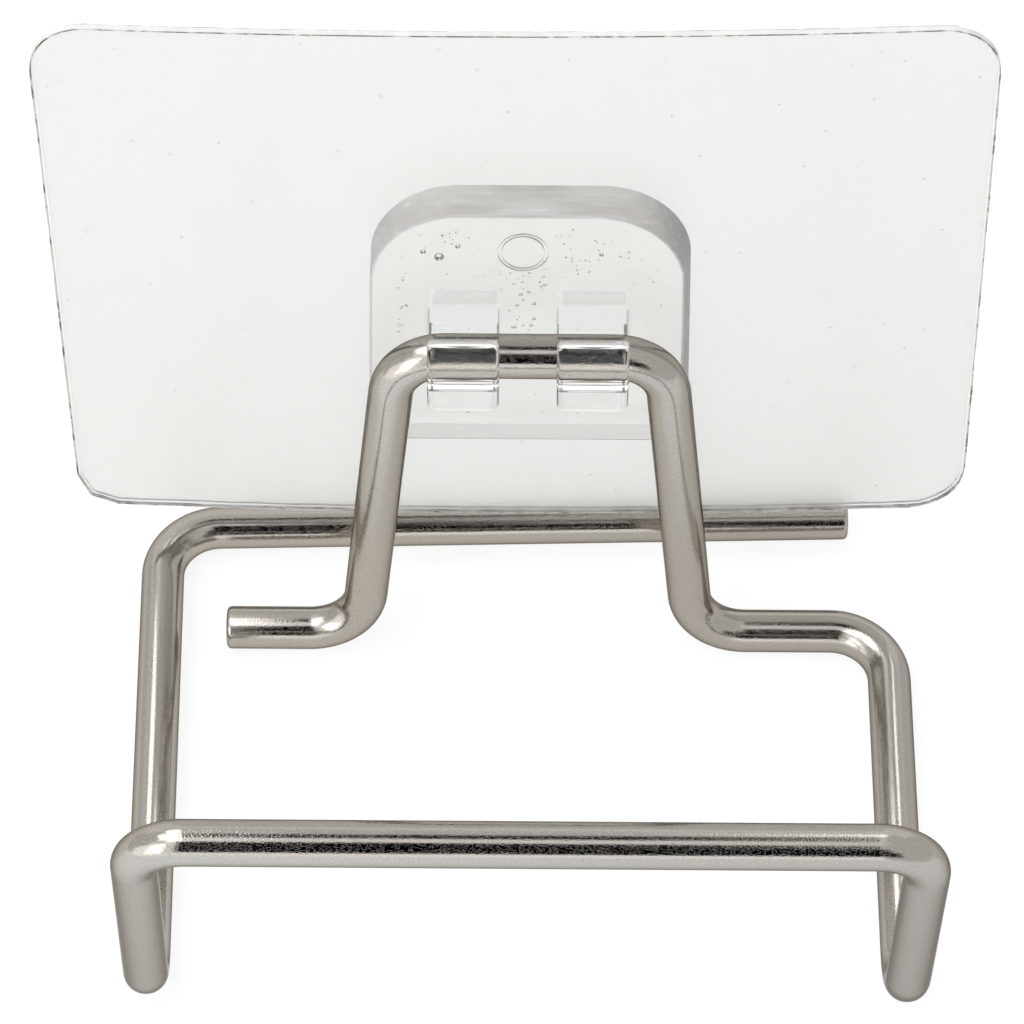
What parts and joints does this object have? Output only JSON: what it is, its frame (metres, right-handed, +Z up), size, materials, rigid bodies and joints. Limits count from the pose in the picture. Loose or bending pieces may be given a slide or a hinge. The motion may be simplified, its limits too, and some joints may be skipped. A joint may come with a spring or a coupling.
{
  "type": "sponge holder",
  "caption": "Adhesive wall holder for a sponge: a bent wire tray that hangs and turns in the hooks of a clear adhesive plate.",
  "frame": {"origin": "centre of the underside of the whole object's box, on the surface that the tray stands on", "axes": "+Z up from the tray's rails, +Y from the tray's open front towards the wall, +X to the right of someone who faces the wall"},
  "size_m": [0.0832, 0.0602, 0.067],
  "materials": {
    "wire": "satin-polished drawn stainless wire",
    "moulding": "clear glossy moulding with small bubbles",
    "sheet": "clear flexible sheet, slightly hazy",
    "adhesive": "clear pressure-sensitive gel"
  },
  "bodies": {
    "tray": {"wire_frame": "wire"},
    "plate": {"hook_pad": "moulding", "backing_sheet": "sheet", "adhesive_layer": "adhesive"}
  },
  "joints": [
    {"name": "top_bar_hinge", "type": "hinge", "parent": "tray", "child": "plate", "pos_m": [0.00119, 0.01765, 0.0365], "axis": [1, 0, 0], "range_deg": [0, 175]}
  ]
}
